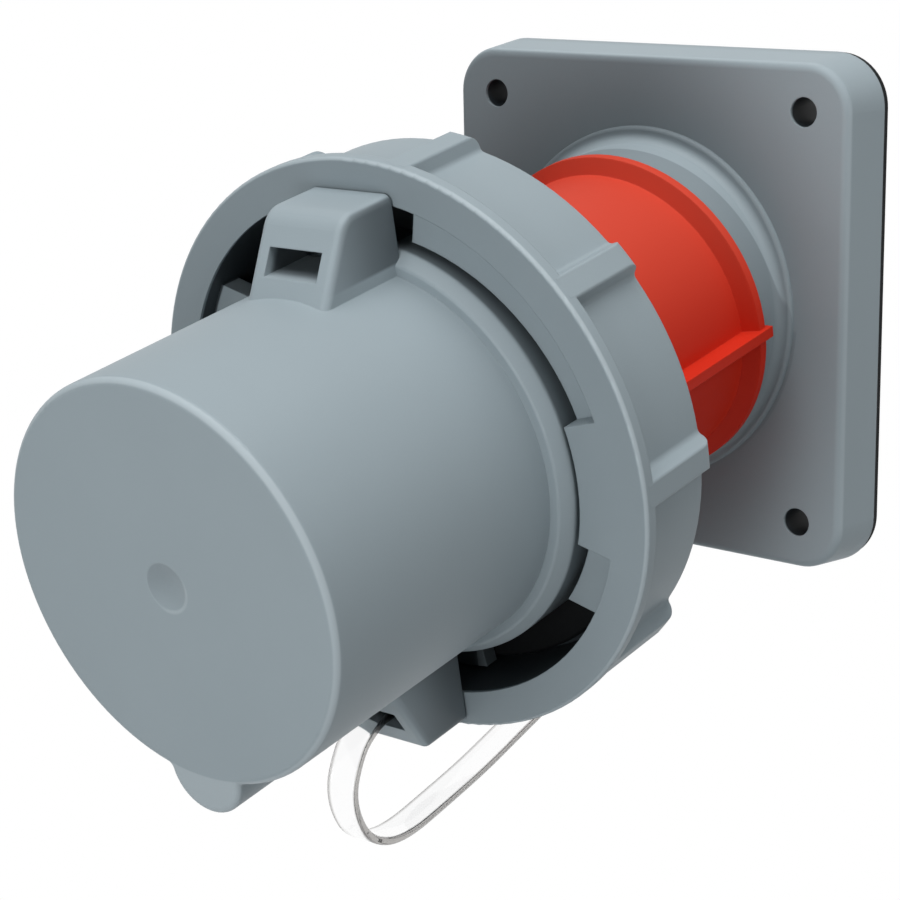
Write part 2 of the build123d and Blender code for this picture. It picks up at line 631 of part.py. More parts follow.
# Bayonet locking ring: a cup with a thick front lip, grip ribs outside, claws and ramps inside.
# Each half turn carries a stub ledge, a claw flush with the front face, and a ramp that climbs
# away from the claw. The cap's tabs pass between them and then turn in under the ledges.
ledge_mid_angle = (LEDGE_START + LEDGE_END) / 2
ledge_half_span = (LEDGE_END - LEDGE_START) / 2
ledge_mid_r = (LEDGE_R + RING_MOUTH_R) / 2
ramp_run = ledge_mid_r * math.sin(math.radians(ledge_half_span))
ramp_slope = math.degrees(math.atan(LEDGE_RISE / 2 / ramp_run))
ramp_mid_s = LEDGE_LOW_S + LEDGE_RISE / 2

with BuildPart() as locking_ring:
    with BuildSketch(half):
        with BuildLine():
            Polyline(
                (RING_BORE_R, RING_REAR_S),
                (RING_BODY_R, RING_REAR_S),
                (RING_BODY_R, RING_FRONT_S - RING_BAND_W),
                (RING_R, RING_FRONT_S - RING_BAND_W),
                (RING_R, RING_FRONT_S),
                (RING_MOUTH_R, RING_FRONT_S),
                (RING_MOUTH_R, RING_WEB_FRONT_S),
                (RING_BORE_R, RING_WEB_FRONT_S),
                close=True,
            )
        make_face()
    revolve(axis=body_axis)
    front_rim = locking_ring.edges().filter_by(GeomType.CIRCLE).group_by(SortBy.RADIUS)[-1]
    fillet(front_rim.sort_by(body_axis)[-1], RING_EDGE_R)
    # Grip ribs, blended into the ring at their feet
    with BuildSketch(cross.offset(RING_REAR_S)) as grip:
        Circle(RING_BODY_R)
        with PolarLocations(0, GRIP_RIBS):
            Polygon(
                (RING_BODY_R - ROOT / 2, -GRIP_FOOT_W / 2),
                (RING_R, -GRIP_TOP_W / 2),
                (RING_R, GRIP_TOP_W / 2),
                (RING_BODY_R - ROOT / 2, GRIP_FOOT_W / 2),
                align=None,
            )
        corners = grip.vertices().group_by(lambda v: round(v.center().length, 2))
        fillet(corners[-1], GRIP_TOP_R)
        feet = grip.vertices().filter_by(lambda v: v.center().length < RING_BODY_R + GRIP_TOP_R)
        fillet(feet, GRIP_FOOT_R)
        Circle(RING_BODY_R - ROOT, mode=Mode.SUBTRACT)
    extrude(amount=RING_LENGTH - RING_BAND_W / 2)
    # The ribs' rear ends are rounded down to the ring
    with BuildSketch(half):
        with Locations((RING_R, RING_REAR_S)):
            Rectangle(2 * GRIP_END_R, 2 * GRIP_END_R)
        with Locations((RING_R - GRIP_END_R, RING_REAR_S + GRIP_END_R)):
            Circle(GRIP_END_R, mode=Mode.SUBTRACT)
    revolve(axis=body_axis, mode=Mode.SUBTRACT)
    for turn in (0, 180):
        # The slope is applied in the ramp's own place, so that both ramps climb the same way round
        ramp = Plane(at(ramp_mid_s, turn + ledge_mid_angle) * Location((0, 0, 0), (ramp_slope, 0, 0)))
        with BuildSketch(ramp.offset(-LEDGE_T)):
            add(sector(LEDGE_R, RING_MOUTH_R + ROOT, -ledge_half_span, ledge_half_span))
        extrude(amount=LEDGE_T)
        with BuildSketch(cross.offset(LEDGE_UNDER_S)):
            add(sector(LEDGE_R, RING_MOUTH_R + ROOT, turn + STUB_END, turn + LEDGE_START, STUB_SLANT))
        extrude(amount=LEDGE_T)
        with BuildSketch(cross.offset(RING_FRONT_S)):
            add(sector(LEDGE_R, RING_MOUTH_R + ROOT / 2, turn - CLAW_HALF_ANGLE, turn + CLAW_HALF_ANGLE))
        extrude(amount=LEDGE_UNDER_S + LEDGE_T / 2 - RING_FRONT_S)
locking_ring.part.label = "locking_ring"

# Open spring clip that keeps the ring on the barrel
with BuildPart() as ring_clip:
    with BuildSketch(cross.offset(CLIP_REAR_S)):
        half_gap = CLIP_GAP_ANGLE / 2
        add(sector(CLIP_FLOOR_R, CLIP_FLOOR_R + CLIP_HEIGHT, 90 + half_gap, 450 - half_gap))
    extrude(amount=CLIP_T)
ring_clip.part.label = "ring_clip"

# Black face seal on the shoulder
with BuildPart() as shroud_seal:
    with BuildSketch(half):
        with Locations(((SEAL_R + SHROUD_R) / 2, SHOULDER_FRONT_S + SEAL_T / 2)):
            RectangleRounded(SEAL_R - SHROUD_R, SEAL_T, SEAL_EDGE_R)
    revolve(axis=body_axis)
shroud_seal.part.label = "shroud_seal"


def lug(outline, nose_r, turn):
    """Solid blank of one lug, standing on the cap at 90 degrees and then turned about the axis."""
    with BuildPart() as blank:
        with BuildSketch(side) as profile:
            with BuildLine():
                Polyline(*[(LUG_REAR_S + s, h) for s, h in outline], close=True)
            make_face()
            nose = profile.vertices().group_by(Axis.Y)[-1].sort_by(Axis.X)[-1]
            fillet(nose, nose_r)
        extrude(amount=LUG_W / 2, both=True)
        # Every edge is rounded but the foot and the rear face
        rounded = blank.edges().filter_by(lambda e: height(e.center()) > LUG_FOOT + LUG_EDGE_R)
        rounded = rounded.filter_by(lambda e: place(e.center()) > LUG_REAR_S + LUG_EDGE_R)
        fillet(rounded.filter_by(lambda e: abs(e.center().X) > LUG_W / 4), LUG_EDGE_R)
    return blank.part.rotate(body_axis, turn)


# Protective cap
with BuildPart() as protective_cap:
    # Round body with the lobe over the key's passage
    with BuildSketch(cross.offset(CAP_RIM_FRONT_S)):
        Circle(CAP_REAR_R)
        with Locations((0, -LOBE_CENTRE_R)):
            Circle(LOBE_R)
    extrude(amount=CAP_FRONT_S - CAP_RIM_FRONT_S)
    straight = protective_cap.edges().filter_by(GeomType.LINE)
    lobe_feet = straight.group_by(lambda e: round(height(e.center()), 2))[0]
    fillet(lobe_feet, LOBE_FOOT_R)
    front_face = protective_cap.faces().sort_by(body_axis)[-1]
    fillet(front_face.edges(), CAP_EDGE_R)
    # Rim, bevelled to a step that is blended into the body
    with BuildSketch(half) as rim:
        with BuildLine():
            Polyline(
                (CAP_BORE_R, CAP_REAR_S),
                (CAP_RIM_R, CAP_REAR_S),
                (CAP_RIM_R, CAP_RIM_FRONT_S),
                (CAP_STEP_R, CAP_STEP_S),
                (CAP_REAR_R, CAP_STEP_S),
                (CAP_REAR_R - CAP_WALL / 4, CAP_STEP_S + 2 * CAP_FOOT_R),
                (CAP_BORE_R, CAP_STEP_S + 2 * CAP_FOOT_R),
                close=True,
            )
        make_face()
        edge = rim.vertices().group_by(Axis.X)[-1].sort_by(Axis.Y)[-1]
        fillet(edge, CAP_RIM_EDGE_R)
        step = rim.vertices().filter_by(lambda v: abs(v.Y - CAP_STEP_S) < CAP_SEAL_GAP).sort_by(Axis.X)
        fillet(step[-1], CAP_RIM_EDGE_R)
        fillet(step[0], CAP_FOOT_R)
    revolve(axis=body_axis)
    add(lug(UPPER_LUG, LUG_NOSE_R, 0))
    add(lug(LOWER_LUG, LUG_EDGE_R, 180))
    # Bayonet tabs
    for turn in (90, -90):
        with BuildSketch(cross.offset(CAP_REAR_S)):
            add(sector(CAP_RIM_R - ROOT / 2, TAB_R, turn - TAB_HALF_ANGLE, turn + TAB_HALF_ANGLE))
        extrude(amount=TAB_T)
    # Hollow for the shroud, with the passage for its key
    with BuildSketch(cross.offset(CAP_REAR_S)):
        Circle(CAP_BORE_R)
        Rectangle(PASSAGE_W, PASSAGE_R, align=(Align.CENTER, Align.MAX))
    extrude(amount=CAP_CEILING_S - CAP_REAR_S, mode=Mode.SUBTRACT)
    # Shallow round dish in the end face, with a soft edge
    dish_r = (DIMPLE_R**2 + DIMPLE_DEPTH**2) / (2 * DIMPLE_DEPTH)
    with Locations(at(CAP_FRONT_S - DIMPLE_DEPTH + dish_r)):
        Sphere(dish_r, mode=Mode.SUBTRACT)
    dish_edge = protective_cap.edges().filter_by(lambda e: place(e.center()) > CAP_FRONT_S - RUN_GAP)
    fillet(dish_edge.filter_by(lambda e: abs(e.length / math.tau - DIMPLE_R) < RUN_GAP), DIMPLE_EDGE_R)
    # Pockets for the strap's end, each with a wider chamber at its bottom
    for turn, base in ((0, UPPER_SLOT_BASE), (180, LOWER_SLOT_BASE)):
        mouth = Plane(at(CHAMBER_REAR_S, turn))
        for pocket_w, pocket_h, length in (
            (SLOT_W, SLOT_H, CAP_FRONT_S - SLOT_STOP_S),
            (CHAMBER_W, SLOT_H + 2 * CHAMBER_MARGIN, CHAMBER_LENGTH),
        ):
            with BuildSketch(mouth):
                with Locations((0, base + SLOT_H / 2)):
                    Rectangle(pocket_w, pocket_h)
            extrude(amount=length, mode=Mode.SUBTRACT)
protective_cap.part.label = "protective_cap"

# Strap, one clear moulding: cross bar in the lower lug, flat band and loop round the barrel.
# The band's route is (s, height) below the axis, from the bar to the loop.
strap_mid = LOWER_SLOT_BASE + SLOT_H / 2
bar_s = CHAMBER_REAR_S + CHAMBER_LENGTH / 2
route = [
    (bar_s, -strap_mid),
    (104.5, -strap_mid),
    (113.5, -53.0),
    (113.5, -69.0),
    (105.0, -76.6),
    (80.0, -74.6),
    (44.5, -71.0),
    (LOOP_S, -LOOP_INNER_R - STRAP_T / 4),
]
bends = [4.0, 8.0, 9.0, 16.0, 60.0, 8.0]

with BuildPart() as cap_strap:
    with BuildLine(side):
        strap_path = FilletPolyline(*route, radius=bends)
    with BuildSketch(Plane(origin=strap_path @ 0, x_dir=(1, 0, 0), z_dir=strap_path % 0)):
        Rectangle(STRAP_W, STRAP_T)
    sweep()
    with BuildSketch(cross.offset(bar_s)):
        with Locations((0, -strap_mid)):
            Rectangle(CHAMBER_W - 2 * BAR_GAP, SLOT_H + 2 * CHAMBER_MARGIN - 2 * BAR_GAP)
    extrude(amount=BAR_T / 2, both=True)
    with BuildSketch(half):
        with Locations(((LOOP_INNER_R + LOOP_OUTER_R) / 2, LOOP_S)):
            Rectangle(STRAP_T, STRAP_W)
    revolve(axis=body_axis)
cap_strap.part.label = "cap_strap"

os.makedirs("parts", exist_ok=True)
pieces = [
    flange_housing, flange_gasket, red_shroud, body_o_ring, body_nut, pin_carrier, pin_retainer,
    terminal_fence, *pins.values(), terminal_screws, pilot_screw, carrier_screws, retainer_screws,
    locking_ring, ring_clip, shroud_seal, protective_cap, cap_strap,
]
for piece in pieces:
    export_step(piece.part, f"parts/{piece.part.label}.step")
    print(piece.part.label, "solids", len(piece.part.solids()), "volume", round(piece.part.volume, 1))
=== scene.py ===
# %% [markdown]
# # A pin and sleeve inlet, dressed for its picture
#
# The solids come from the CAD frame: a grey flange, a red body that leans down by ten degrees, a grey
# bayonet ring, and a grey cap on a clear strap. This script gives them their materials, models the
# strap as a soft moulding, and sets up the camera and a white studio.
# Everything is in metres. The panel is the plane y = 0 and the inlet faces -y.

# %% Load the frame
import math

import bpy
from mathutils import Matrix, Vector


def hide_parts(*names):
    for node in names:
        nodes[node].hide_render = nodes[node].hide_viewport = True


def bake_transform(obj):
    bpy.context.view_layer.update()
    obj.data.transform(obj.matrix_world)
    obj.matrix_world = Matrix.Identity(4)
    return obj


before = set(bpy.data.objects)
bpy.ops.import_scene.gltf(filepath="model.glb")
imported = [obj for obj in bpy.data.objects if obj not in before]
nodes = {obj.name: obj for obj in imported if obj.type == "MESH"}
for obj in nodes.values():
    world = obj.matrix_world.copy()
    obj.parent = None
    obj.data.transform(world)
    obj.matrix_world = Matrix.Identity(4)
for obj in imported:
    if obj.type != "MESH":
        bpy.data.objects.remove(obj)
scene = bpy.context.scene
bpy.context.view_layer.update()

# %% [markdown]
# ## The leaning axis
#
# Most of the inlet is round about one axis, which starts on the flange's front face and points out and
# down. A place on the body is therefore written as three numbers: the distance along the axis, the
# distance to the right, and the height above the axis. One small function turns them into a point.

# %% The axis as vectors
MM = 0.001
LEAN_DEGREES = 10.0
LEAN = math.radians(LEAN_DEGREES)
FLANGE_FRONT_MM = -13.9
CAP_FRONT = 145.8
AXIS_START = Vector((0.0, FLANGE_FRONT_MM, 0.0)) * MM
OUTWARD = Vector((0.0, -math.cos(LEAN), -math.sin(LEAN)))
UPWARD = Vector((0.0, -math.sin(LEAN), math.cos(LEAN)))
RIGHT = Vector((1.0, 0.0, 0.0))


def on_body(along, right, height):
    """Point of the leaning body, from millimetres."""
    return AXIS_START + (OUTWARD * along + RIGHT * right + UPWARD * height) * MM


print("cap's front centre", [round(v, 4) for v in on_body(CAP_FRONT, 0, 0)])

# %% [markdown]
# ## The camera
#
# The photograph was taken from the right of the inlet's front and a little above it, with a long lens.
# Azimuth and elevation give the line of sight, and a small roll levels it as in the photograph.

# %% Place the camera
AZIMUTH, ELEVATION, ROLL = (math.radians(a) for a in (39.08, 14.81, -1.25))
CAMERA_AT = Vector((0.27218, -0.4154, 0.09605))
LENS_MM = 92.08

back = Vector(
    (math.sin(AZIMUTH) * math.cos(ELEVATION), -math.cos(AZIMUTH) * math.cos(ELEVATION), math.sin(ELEVATION))
)
flat_right = Vector((math.cos(AZIMUTH), math.sin(AZIMUTH), 0.0))
flat_up = back.cross(flat_right)
camera_right = flat_right * math.cos(ROLL) + flat_up * math.sin(ROLL)
camera_up = flat_up * math.cos(ROLL) - flat_right * math.sin(ROLL)

bpy.ops.object.select_all(action="DESELECT")
bpy.ops.object.camera_add(location=CAMERA_AT)
camera = bpy.context.object
camera.name = "camera"
camera.data.lens = LENS_MM
camera.data.sensor_width = 36.0
camera.data.clip_start = 0.01
camera.rotation_euler = Matrix((camera_right, camera_up, back)).transposed().to_euler()
scene.camera = camera
print("camera at", tuple(round(v, 3) for v in camera.location))

# %% [markdown]
# ## Shader maths
#
# Procedural materials are sums and products of fields. A small class wraps a node's output so that such
# maths can be written as ordinary formulas: each operator adds one Math node. Any other node comes from
# one method, which takes the node's type, its settings, and the values or links of its sockets.


# %% A class for shader formulas
class Field:
    """A value that varies over a surface. A formula on it adds Math nodes to its tree."""

    def __init__(self, tree, socket):
        self.tree, self.socket = tree, socket

    def math(self, operation, *values):
        node = self.tree.nodes.new("ShaderNodeMath")
        node.operation = operation
        for socket, value in zip(node.inputs, values):
            if isinstance(value, Field):
                self.tree.links.new(value.socket, socket)
            else:
                socket.default_value = value
        return Field(self.tree, node.outputs[0])

    def __add__(self, other):
        return self.math("ADD", self, other)

    def __radd__(self, other):
        return self.math("ADD", other, self)

    def __sub__(self, other):
        return self.math("SUBTRACT", self, other)

    def __rsub__(self, other):
        return self.math("SUBTRACT", other, self)

    def __mul__(self, other):
        return self.math("MULTIPLY", self, other)

    def __rmul__(self, other):
        return self.math("MULTIPLY", other, self)

    def __pow__(self, other):
        return self.math("POWER", self, other)

    def __rpow__(self, other):
        return self.math("POWER", other, self)

    def __abs__(self):
        return self.math("ABSOLUTE", self)

    def larger(self, other):
        return self.math("MAXIMUM", self, other)


print("fields ready")

# %% [markdown]
# The second class holds one material or world tree. Its node method makes every other node. Linked
# values are given as fields or sockets, and plain numbers and colours are set as they are.


# %% A class for node trees
class Shading:
    """A node tree in the making."""

    def __init__(self, tree):
        self.tree = tree

    def node(self, kind, settings=None, sockets=None):
        """Any node: its settings are set first, then the values or links of its sockets."""
        node = self.tree.nodes.new(kind)
        for name, value in (settings or {}).items():
            setattr(node, name, value)
        for key, value in (sockets or {}).items():
            if isinstance(value, Field):
                self.tree.links.new(value.socket, node.inputs[key])
            elif isinstance(value, bpy.types.NodeSocket):
                self.tree.links.new(value, node.inputs[key])
            else:
                node.inputs[key].default_value = value
        return node

    def field(self, kind, output, settings=None, sockets=None):
        return Field(self.tree, self.node(kind, settings, sockets).outputs[output])

    def rise(self, value, low, high):
        """0 below low and 1 above high, smooth between. With low above high it falls."""
        settings = {"interpolation_type": "SMOOTHSTEP"}
        sockets = {"Value": value, "From Min": low, "From Max": high}
        return self.field("ShaderNodeMapRange", "Result", settings, sockets)

    def blend(self, one, other, mask):
        """Colour that goes from one to the other as the mask goes from 0 to 1."""
        node = self.node("ShaderNodeMix", {"data_type": "RGBA"})
        factor = next(s for s in node.inputs if s.name == "Factor" and s.type == "VALUE")
        first, second = [s for s in node.inputs if s.type == "RGBA"]
        self.tree.links.new(mask.socket, factor)
        for socket, colour in ((first, one), (second, other)):
            if isinstance(colour, bpy.types.NodeSocket):
                self.tree.links.new(colour, socket)
            else:
                socket.default_value = (*colour, 1.0)
        return next(s for s in node.outputs if s.type == "RGBA")

    def seen_directly(self):
        """1 for the camera, for mirrors and for what shows through glass, and 0 for other light."""
        paths = self.node("ShaderNodeLightPath").outputs
        camera_ray, glossy_ray, glass_ray = (
            Field(self.tree, paths[n]) for n in ("Is Camera Ray", "Is Glossy Ray", "Is Transmission Ray")
        )
        return camera_ray.larger(glossy_ray).larger(glass_ray)


print("trees ready")

# %% [markdown]
# ## The studio
#
# The picture has a pure white ground and very soft light: most of it from above, a near panel in front
# of the cap, which the flange far behind gets less of, and a little from the right. The world is white
# to the camera and in reflections, and nearly dark as a light, so that the panels alone shape the part.

# %% Light the scene
scene.view_settings.view_transform = "Standard"
world = bpy.data.worlds.new("studio")
scene.world = world
world.use_nodes = True
world.node_tree.nodes.clear()
AMBIENT = 0.01
studio = Shading(world.node_tree)
shown = studio.node("ShaderNodeBackground", None, {"Color": (1.0, 1.0, 1.0, 1.0), "Strength": 1.0})
ambient = studio.node("ShaderNodeBackground", None, {"Color": (0.97, 0.985, 1.0, 1.0), "Strength": AMBIENT})
pick = studio.node(
    "ShaderNodeMixShader", None, {0: studio.seen_directly(), 1: ambient.outputs[0], 2: shown.outputs[0]}
)
studio.node("ShaderNodeOutputWorld", None, {"Surface": pick.outputs[0]})


def panel_light(name, at, target, size, watts):
    """Large rectangular light that looks at a target and isn't seen itself."""
    bpy.ops.object.select_all(action="DESELECT")
    bpy.ops.object.light_add(type="AREA", location=at)
    light = bpy.context.object
    light.name = name
    light.data.shape = "RECTANGLE"
    light.data.size, light.data.size_y = size
    light.data.energy = watts
    light.visible_camera = False
    light.rotation_euler = (Vector(at) - Vector(target)).to_track_quat("Z", "Y").to_euler()


panel_light("overhead", (0.1, -0.25, 1.0), (0.0, -0.08, 0.0), (1.0, 1.0), 12.2)
panel_light("near_front", (0.08, -0.6, 0.0), (0.0, -0.15, -0.02), (0.3, 0.3), 1.4)
panel_light("right", (0.95, -0.2, 0.55), (0.0, -0.08, 0.0), (0.6, 0.6), 2.8)

# %% [markdown]
# ## Places on the surface
#
# Shade painted in narrow gaps and light painted on edges follow the inlet's own form. So a material can ask
# for the distance along the leaning axis and the distance from it, both in millimetres, worked out from the
# object coordinates by the same formulas as the function above.


# %% A class for finishes
class Finish(Shading):
    """A principled material in the making."""

    def __init__(self, name, roughness, **constants):
        self.material = bpy.data.materials.new(name)
        self.material.use_nodes = True
        super().__init__(self.material.node_tree)
        self.shader = self.tree.nodes["Principled BSDF"]
        self.shader.inputs["Roughness"].default_value = roughness
        for socket, value in constants.items():
            self.shader.inputs[socket.replace("_", " ")].default_value = value
        self.place = self.node("ShaderNodeTexCoord").outputs["Object"]

    def axes(self):
        """X, y and z in millimetres."""
        split = self.node("ShaderNodeSeparateXYZ", None, {"Vector": self.place})
        return [Field(self.tree, split.outputs[axis]) * (1.0 / MM) for axis in "XYZ"]

    def facing(self, axis):
        """How far the surface faces along one axis, from -1 to 1."""
        normal = self.node("ShaderNodeNewGeometry").outputs["Normal"]
        split = self.node("ShaderNodeSeparateXYZ", None, {"Vector": normal})
        return Field(self.tree, split.outputs[axis])

    def on_axis(self):
        """Distance along the leaning axis, x, height over the axis and distance from it, in millimetres."""
        x, y, z = self.axes()
        out = y - FLANGE_FRONT_MM
        along = out * -math.cos(LEAN) + z * -math.sin(LEAN)
        height = out * -math.sin(LEAN) + z * math.cos(LEAN)
        return along, x, height, (x * x + height * height) ** 0.5

    def between(self, value, low, high, soft=0.3):
        """1 where the value lies between two limits, with soft borders."""
        return self.rise(value, low - soft, low + soft) * self.rise(value, high + soft, high - soft)

    def noise(self, size_mm, detail=3.0, stretch=None):
        """Cloudy noise from 0 to 1 whose blobs are about size_mm across."""
        place = self.place
        if stretch:
            mapping = self.node("ShaderNodeMapping", None, {"Vector": place, "Scale": stretch})
            place = mapping.outputs["Vector"]
        sockets = {"Scale": 1.0 / (size_mm * MM), "Detail": detail, "Vector": place}
        return self.field("ShaderNodeTexNoise", "Fac", None, sockets)

    def colour(self, socket):
        self.tree.links.new(socket, self.shader.inputs["Base Color"])

    def polish(self, field):
        self.tree.links.new(field.socket, self.shader.inputs["Roughness"])

    def relief(self, field, depth_mm, strength=1.0, edge_mm=0.0):
        """Bump from a field, over edges that look rounded by edge_mm."""
        sockets = {"Distance": depth_mm * MM, "Strength": strength, "Height": field}
        if edge_mm:
            bevel = self.node("ShaderNodeBevel", {"samples": 6}, {"Radius": edge_mm * MM})
            sockets["Normal"] = bevel.outputs["Normal"]
        bump = self.node("ShaderNodeBump", None, sockets)
        self.tree.links.new(bump.outputs["Normal"], self.shader.inputs["Normal"])

    def wear(self, *names):
        """Puts this material on CAD nodes."""
        for name in names:
            slots = nodes[name].data.materials
            slots.clear()
            slots.append(self.material)


print("finish class ready")

# %% [markdown]
# ## Grey and red plastic
#
# The grey and the red parts are injection moulded: an even colour with the faintest clouding, a fine
# spark-eroded grain that breaks up the highlights, and softly rounded edges. Both come from one recipe.
# A painted highlight lightens the edges, painted shade darkens the places that a narrow gap keeps from
# the light, and each part names its own.

# %% The moulded recipe
# Painted shade darkens towards the first tone, and a painted highlight lightens towards the second.
PAINTED_SHADE_TONE = (0.008, 0.012, 0.016)
EDGE_HIGHLIGHT_TONE = (0.40, 0.46, 0.49)


def moulded(
    name, low, high, roughness, gaps=None, edges=None, tone=EDGE_HIGHLIGHT_TONE, specular=0.22, grain_mm=0.35
):
    """Moulded plastic. Gaps and edges are functions of the finish that return painted shade and painted
    light masks.
    """
    finish = Finish(name, roughness, **{"Specular IOR Level": specular})
    cloud = finish.noise(26.0, 4.0)
    grain = finish.noise(grain_mm, 2.0)
    colour = finish.blend(low, high, cloud * 0.7 + grain * 0.3)
    # A painted highlight on the edges, then painted shade in the gaps.
    if edges:
        colour = finish.blend(colour, tone, 0.6 * edges(finish))
    if gaps:
        colour = finish.blend(colour, PAINTED_SHADE_TONE, gaps(finish))
    finish.colour(colour)
    finish.polish((cloud - 0.5) * 0.1 + (grain - 0.5) * 0.12 + roughness)
    finish.relief(grain, 0.02, 0.5, 0.3)
    return finish


print("moulded recipe ready")

# %% [markdown]
# The masks follow the CAD model's own sizes, in millimetres. On the leaning body a front, or the
# underside of the ring's ledges, is a distance along the axis.

# %% Sizes for the masks
FLANGE_HALF_W, FLANGE_HALF_H, BEAD_R = 50.0, 53.5, 38.0
HOLE_X, HOLE_Z, HOLE_R = 38.5, 42.5, 3.0
RING_FRONT, RING_R, RING_MOUTH_R, LEDGE_UNDER = 85.1, 57.5, 50.1, 76.55
CAP_R, CAP_RIM_R, CAP_RIM_FRONT, DIMPLE_R = 38.0, 41.8, 84.4, 4.7
LUG_HALF_W, LUG_FRONT, LUG_LEVEL, LUG_SLOPE = 9.5, 101.1, 45.7, 0.55
SLOT_HALF_W, SLOT_LOW, SLOT_HIGH = 6.2, 41.0, 50.9
print("mask sizes", RING_FRONT, CAP_RIM_FRONT, CAP_FRONT)

# %% [markdown]
# Each mask below belongs to one grey part. Painted shade gives the flange less light behind the ring,
# and its holes, its neck and its top edge are darker still. A painted highlight puts a line of light on the
# front edges of all three parts.


# %% Masks for the flange
def flange_shade(finish):
    """Shade on the front face, most of all on the left and near the neck, in the holes, on the neck
    and on the top edge."""
    x, y, z = finish.axes()
    radius = (x * x + z * z) ** 0.5
    front = finish.rise(y, FLANGE_FRONT_MM + 0.9, FLANGE_FRONT_MM + 0.2) * finish.rise(radius, 35.0, 37.0)
    shade = 0.38 - 0.38 * finish.rise(x, -5.0, 45.0) + 0.14 * finish.rise(radius, 60.0, 38.0)
    from_hole = ((abs(x) - HOLE_X) ** 2 + (abs(z) - HOLE_Z) ** 2) ** 0.5
    below_face = finish.rise(y, FLANGE_FRONT_MM + 0.2, FLANGE_FRONT_MM + 1.0)
    holes = finish.rise(from_hole, HOLE_R + 0.4, HOLE_R + 0.1) * below_face
    along, _, _, reach = finish.on_axis()
    neck = finish.rise(reach, BEAD_R + 0.2, BEAD_R - 0.4) * finish.rise(along, 0.1, 0.5)
    top = finish.rise(z, FLANGE_HALF_H - 0.4, FLANGE_HALF_H - 0.1)
    return (front * shade).larger(holes * 0.97).larger(neck * 0.3).larger(top * 0.12)


def flange_edge_highlight(finish):
    """A painted highlight: the rounded front edges catch a line of light."""
    x, y, z = finish.axes()
    sides = finish.rise(abs(x), FLANGE_HALF_W - 2.0, FLANGE_HALF_W - 1.2)
    ends = finish.rise(abs(z), FLANGE_HALF_H - 2.0, FLANGE_HALF_H - 1.2)
    return sides.larger(ends) * finish.rise(y, FLANGE_FRONT_MM + 1.6, FLANGE_FRONT_MM + 1.0)


print("flange masks ready")

# %% [markdown]
# The ring is open to the front, so its mouth's wall and all that lies behind its ledges get a painted shade
# that makes them nearly dark.


# %% Masks for the ring
def ring_painted_shade(finish):
    """Painted shade on the ring's mouth wall, on all that lies deeper than its ledges, and faintly on its
    front face.
    """
    along, _, _, radius = finish.on_axis()
    wall = finish.between(radius, RING_MOUTH_R - 0.5, RING_MOUTH_R + 0.5, 0.2)
    wall = wall * finish.rise(along, RING_FRONT - 0.4, RING_FRONT - 0.9)
    deep = finish.rise(radius, RING_MOUTH_R + 1.4, RING_MOUTH_R + 0.9)
    deep = deep * finish.rise(along, LEDGE_UNDER + 0.25, LEDGE_UNDER - 0.35)
    face = finish.rise(along, RING_FRONT - 0.3, RING_FRONT - 0.1)
    face = face * finish.rise(radius, RING_R - 0.5, RING_R - 0.8)
    return (0.88 * wall.larger(deep)).larger(0.13 * face)


def ring_edge_highlight(finish):
    """A painted highlight on the ring's outer front edge."""
    along, _, _, radius = finish.on_axis()
    front = finish.rise(along, RING_FRONT - 0.8, RING_FRONT - 0.4)
    return front * finish.rise(radius, RING_R - 0.7, RING_R - 0.4)


print("ring masks ready")

# %% [markdown]
# The cap's rim sits deep in the ring, and its two lugs have pockets for the strap. Their slanted front
# is a line: how far it lies along the axis depends on the level above or below the axis.


# %% Masks for the cap
def cap_painted_shade(finish):
    """Painted shade on the rim's side, the insides of the two lugs' pockets, the lugs' sides and the
    dimple, less on its lower right side.
    """
    along, x, height, radius = finish.on_axis()
    rim = finish.rise(radius, CAP_RIM_R - 0.6, CAP_RIM_R - 0.2)
    rim = rim * finish.rise(along, CAP_RIM_FRONT + 0.2, CAP_RIM_FRONT - 0.8)
    dimple = finish.rise(radius, DIMPLE_R, DIMPLE_R - 0.4)
    dimple = dimple * finish.rise(along, CAP_FRONT - 0.02, CAP_FRONT - 0.1)
    dimple = dimple * (0.2 - 0.14 * finish.rise(x - height, -5.0, 5.0))
    level = abs(height)
    lug_front = LUG_FRONT - LUG_SLOPE * (level - LUG_LEVEL)
    pocket = finish.rise(lug_front - along, 0.1, 2.5) * finish.between(level, SLOT_LOW, SLOT_HIGH, 0.1)
    pocket = pocket * finish.rise(abs(x), SLOT_HALF_W + 0.15, SLOT_HALF_W + 0.05)
    sideways = finish.rise(abs(finish.facing("X")), 0.55, 0.9)
    sideways = sideways * finish.rise(abs(x), LUG_HALF_W + 1.0, LUG_HALF_W + 0.5)
    beside = sideways * finish.rise(level, CAP_R + 0.6, CAP_R + 1.4) * finish.rise(along, 108.0, 88.0)
    return (0.5 * rim).larger(0.8 * pocket).larger(0.62 * beside).larger(dimple)


def cap_edge_highlight(finish):
    """A painted highlight on the rounded edge of the cap's front face, and on the lower right side of the
    dimple.
    """
    along, x, height, radius = finish.on_axis()
    lip = finish.between(radius, DIMPLE_R - 0.4, DIMPLE_R + 0.3, 0.2)
    lip = lip * finish.rise(along, CAP_FRONT - 0.8, CAP_FRONT - 0.3) * finish.rise(x - height, 1.0, 5.0)
    edge = finish.rise(along, CAP_FRONT - 1.2, CAP_FRONT - 0.8)
    edge = edge * finish.rise(radius, CAP_R - 1.1, CAP_R - 0.7)
    return edge.larger(0.7 * lip)


print("cap masks ready")
